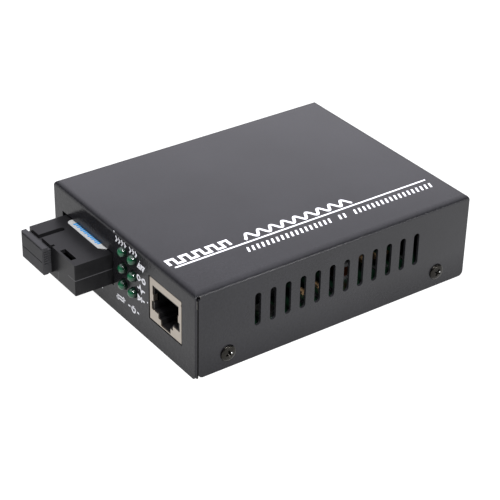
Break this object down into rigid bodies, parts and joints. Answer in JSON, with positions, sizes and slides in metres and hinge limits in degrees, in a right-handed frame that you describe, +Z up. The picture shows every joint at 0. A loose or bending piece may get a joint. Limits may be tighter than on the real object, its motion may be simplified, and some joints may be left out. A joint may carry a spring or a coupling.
{
  "type": "fibre media converter",
  "caption": "Folded steel box with slotted sides, a single-fibre SC transceiver with dust plug, status lamps and a shielded RJ45 jack in front, and a DC inlet behind.",
  "frame": {"origin": "middle of the case's underside, on the surface it stands on", "axes": "+X to the right seen from the front, +Y from the front panel to the rear, +Z up"},
  "size_m": [0.0746, 0.1092, 0.027],
  "materials": {
    "case_coating": "satin black powder coat",
    "black_screw": "black-nickel plated steel",
    "zinc_steel": "zinc plated, bright",
    "board_laminate": "solder resist over glass epoxy",
    "transceiver_moulding": "fine spark-eroded mould texture",
    "plug_elastomer": "soft matt moulding",
    "label_paper": "coated white, matt",
    "optic_metal": "turned, nickel plated",
    "ferrule_ceramic": "ground zirconia",
    "jack_plating": "nickel plated sheet, satin",
    "jack_moulding": "glass-filled nylon",
    "contact_gold": "gold plated spring wire",
    "lamp_epoxy": "green tinted epoxy",
    "lamp_spacer": "moulded nylon",
    "tinned_wire": "tinned",
    "inlet_moulding": "moulded PBT",
    "inlet_plating": "nickel plated",
    "chip_moulding": "moulded epoxy",
    "crystal_can": "drawn, nickel plated",
    "choke_ferrite": "pressed ferrite",
    "copper_winding": "enamelled copper",
    "capacitor_can": "drawn can",
    "chip_ceramic": "fired ceramic, tinned ends"
  },
  "bodies": {
    "converter": {"base_tray": "case_coating", "board_screws": "zinc_steel", "board_standoffs": "zinc_steel", "bulk_capacitors": "capacitor_can", "case_cover": "case_coating", "chip_capacitors": "chip_ceramic", "chip_resistors": "chip_ceramic", "circuit_board": "board_laminate", "config_memory": "chip_moulding", "converter_chip": "chip_moulding", "cover_screws": "black_screw", "crystal": "crystal_can", "ferrule_sleeve": "ferrule_ceramic", "inductor_core": "choke_ferrite", "inductor_winding": "copper_winding", "inlet_housing": "inlet_moulding", "inlet_pin": "inlet_plating", "inlet_terminals": "inlet_plating", "isolation_transformer": "chip_moulding", "jack_carrier": "jack_moulding", "jack_contacts": "contact_gold", "jack_housing": "jack_moulding", "jack_shield": "jack_plating", "lamp_block_1": "lamp_spacer", "lamp_block_2": "lamp_spacer", "lamp_leads": "tinned_wire", "latch_clip": "transceiver_moulding", "optical_subassembly": "optic_metal", "status_lamp_1_1": "lamp_epoxy", "status_lamp_1_2": "lamp_epoxy", "status_lamp_1_3": "lamp_epoxy", "status_lamp_2_1": "lamp_epoxy", "status_lamp_2_2": "lamp_epoxy", "status_lamp_2_3": "lamp_epoxy", "transceiver_board": "board_laminate", "transceiver_label": "label_paper", "transceiver_lower_shell": "transceiver_moulding", "transceiver_pins": "tinned_wire", "transceiver_upper_shell": "transceiver_moulding", "voltage_regulator": "chip_moulding"},
    "dust_plug": {"dust_plug": "plug_elastomer"}
  },
  "joints": [
    {"name": "dust_plug_pull", "type": "slide", "parent": "converter", "child": "dust_plug", "axis": [0, -1, 0], "range_m": [0, 0.02]}
  ]
}
